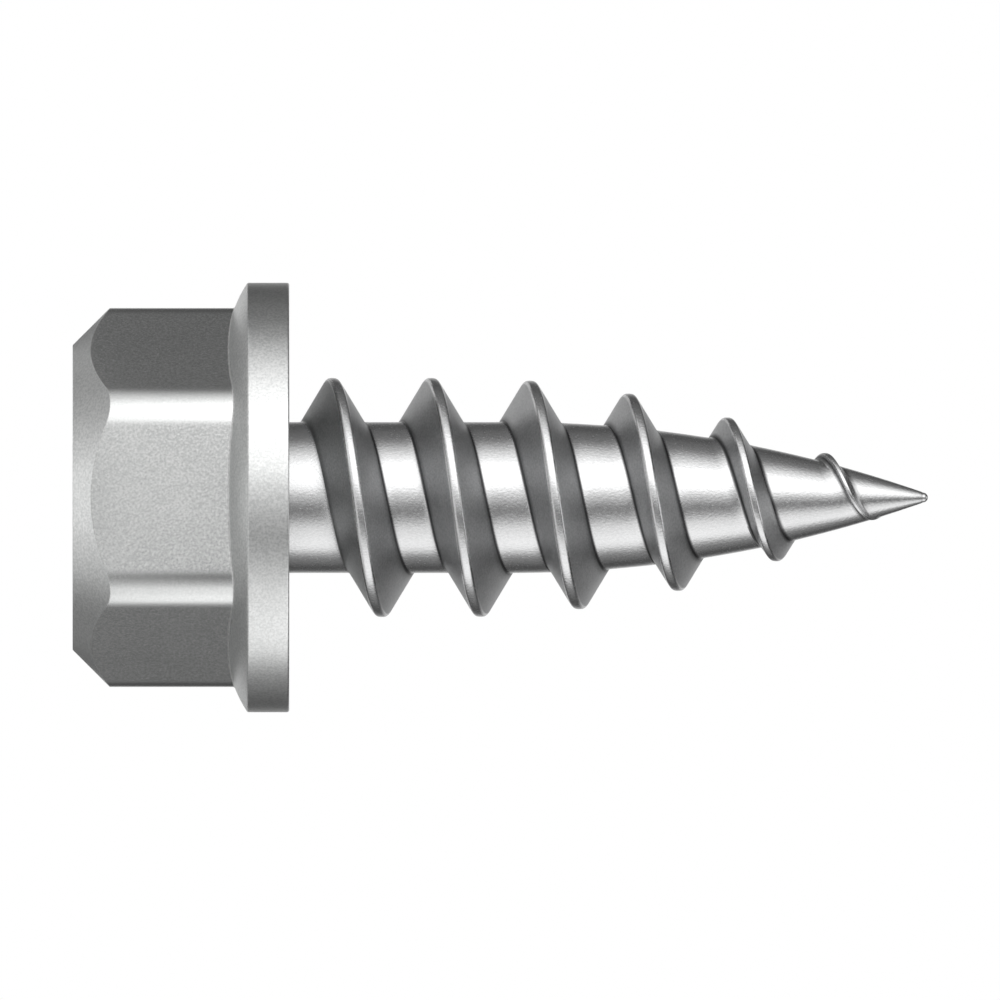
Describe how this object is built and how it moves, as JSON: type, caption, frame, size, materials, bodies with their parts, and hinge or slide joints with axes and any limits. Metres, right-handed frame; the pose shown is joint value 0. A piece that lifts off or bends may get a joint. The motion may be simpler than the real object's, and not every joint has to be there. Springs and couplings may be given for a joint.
{
  "type": "ventilation duct screw",
  "caption": "Hexagon washer-head sheet metal screw with a self-piercing tapered point, for joining ventilation ducts.",
  "frame": {"origin": "centre of the flange's bearing face, on the screw's axis", "axes": "+Z along the axis from the head towards the point, with one hexagon flat facing -Y and two hexagon corners on the X axis"},
  "size_m": [0.0088, 0.0088, 0.0174],
  "materials": {
    "zinc_steel": "bright zinc-plated hardened steel, satin blasted head and smooth rolled shank"
  },
  "bodies": {
    "root": {"duct_screw": "zinc_steel"}
  },
  "joints": []
}
